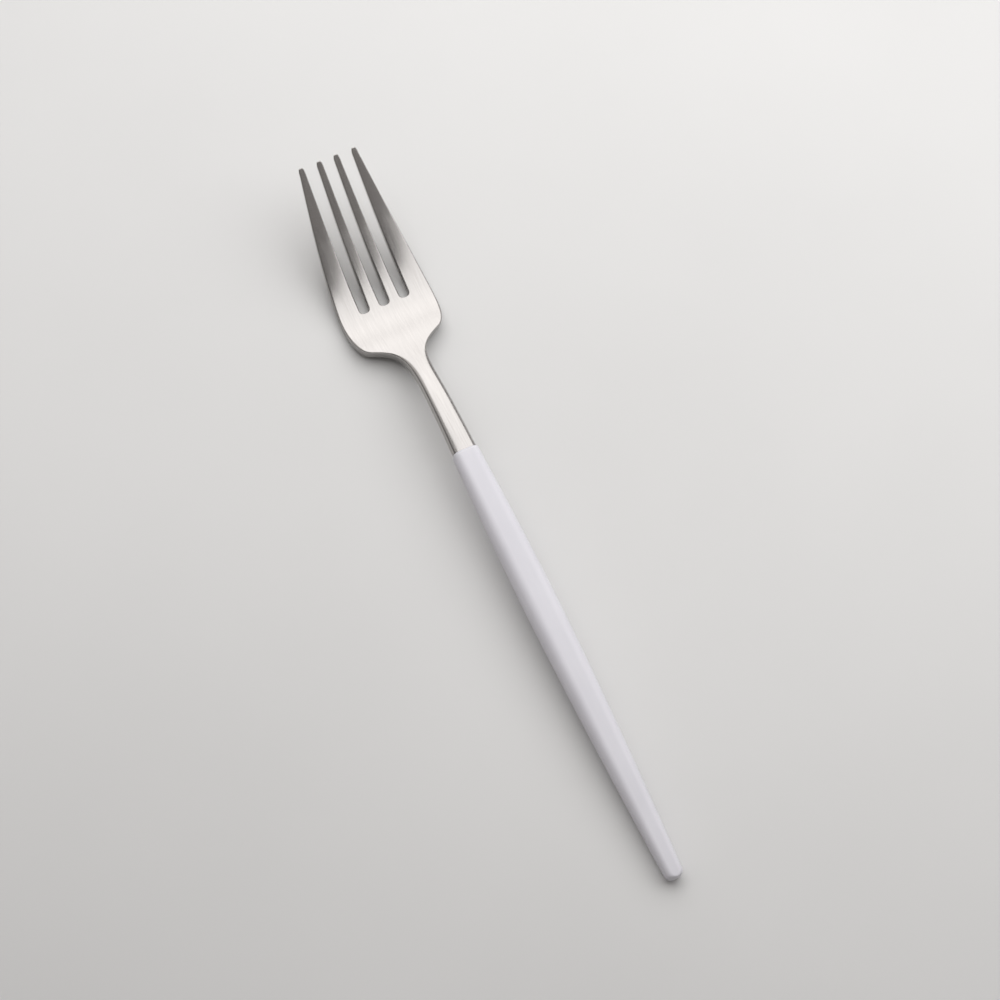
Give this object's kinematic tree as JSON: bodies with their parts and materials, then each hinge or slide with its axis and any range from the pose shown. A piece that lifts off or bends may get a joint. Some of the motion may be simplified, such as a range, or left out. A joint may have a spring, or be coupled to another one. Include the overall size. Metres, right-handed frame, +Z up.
{
  "type": "salad fork",
  "caption": "Table fork with slim tapered tines, a formed satin steel head and flat neck, and a tapered pale resin handle glued over a hidden tang.",
  "frame": {"origin": "on the table, under the middle of the fork's length and width, with the fork lying on its belly and on the butt of its handle", "axes": "+Y from the butt of the handle to the tips of the tines, +X to the right as seen from above with the tines away, +Z up from the table"},
  "size_m": [0.0232, 0.1832, 0.0176],
  "materials": {
    "steel": "satin, brushed lengthwise",
    "resin": "matte, very pale lilac",
    "epoxy": "cured adhesive, pale amber"
  },
  "bodies": {
    "root": {"fork_head": "steel", "handle": "resin", "epoxy_bond": "epoxy"}
  },
  "joints": []
}
